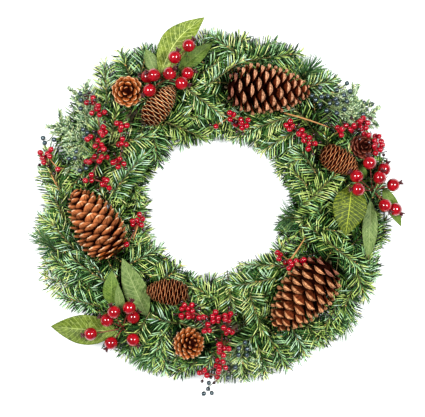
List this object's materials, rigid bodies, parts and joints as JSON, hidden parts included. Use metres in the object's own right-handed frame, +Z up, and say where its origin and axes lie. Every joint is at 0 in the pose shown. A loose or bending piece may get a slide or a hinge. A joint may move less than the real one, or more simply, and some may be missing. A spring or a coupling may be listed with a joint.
{
  "type": "berry wreath",
  "caption": "Round evergreen wreath lying on its back: fir twigs wound on a wire ring, with pine cones, red berry sprays, blue juniper berries, leafy picks and long-needled pine sprigs",
  "frame": {"origin": "the middle of the ring, on the surface that the wreath lies on", "axes": "+Z up, away from that surface, out of the wreath's front; +Y to the wreath's top as in the picture, +X to its right"},
  "size_m": [0.5972, 0.6007, 0.1228],
  "materials": {
    "wire": "dark green enamel on steel wire, satin",
    "fir": "fir needles in yellow-green to blue-green on tan twigs, satin",
    "pine": "long pine needles, bright mid green, satin",
    "juniper": "short frosted grey-green needles, matte",
    "cone": "dry brown cone scales with paler tan edges, matte",
    "leaf": "thick leaf, yellow-green to grey-green, satin with paler veins",
    "red": "glossy deep crimson berry skin on dark red stems",
    "blue": "dark blue juniper berry with a pale bloom, satin"
  },
  "bodies": {
    "root": {"wire_frame": "wire", "fir_bunch_01": "fir", "fir_bunch_02": "fir", "fir_bunch_03": "fir", "fir_bunch_04": "fir", "fir_bunch_05": "fir", "fir_bunch_06": "fir", "fir_bunch_07": "fir", "fir_bunch_08": "fir", "fir_bunch_09": "fir", "fir_bunch_10": "fir", "fir_bunch_11": "fir", "fir_bunch_12": "fir", "fir_bunch_13": "fir", "fir_bunch_14": "fir", "cone_open_left": "cone", "cone_open_top": "cone", "cone_open_right": "cone", "cone_slim_top": "cone", "cone_slim_right": "cone", "cone_slim_bottom": "cone", "cone_round_top": "cone", "cone_round_bottom": "cone", "cone_round_right": "cone", "pick_top_leaves": "leaf", "pick_top_berries": "red", "pick_right_leaves": "leaf", "pick_right_berries": "red", "pick_bottom_leaves": "leaf", "pick_bottom_berries": "red", "berries_left_long": "red", "berries_left_short": "red", "berries_left_tan": "red", "berries_left_inner": "red", "berries_top_left": "red", "berries_top_right": "red", "berries_right_long": "red", "berries_right_end": "red", "berries_right_inner": "red", "berries_bottom_left": "red", "berries_bottom_mid": "red", "berries_bottom_end": "red", "blue_berries_left": "blue", "blue_berries_right": "blue", "blue_berries_bottom": "blue", "pine_sprig_left": "pine", "pine_sprig_bottom": "pine", "pine_sprig_right": "pine", "pine_sprig_top": "pine", "pine_sprig_inner": "pine", "pine_sprig_crest": "pine", "juniper_left": "juniper", "juniper_right": "juniper", "juniper_bottom": "juniper"}
  },
  "joints": []
}
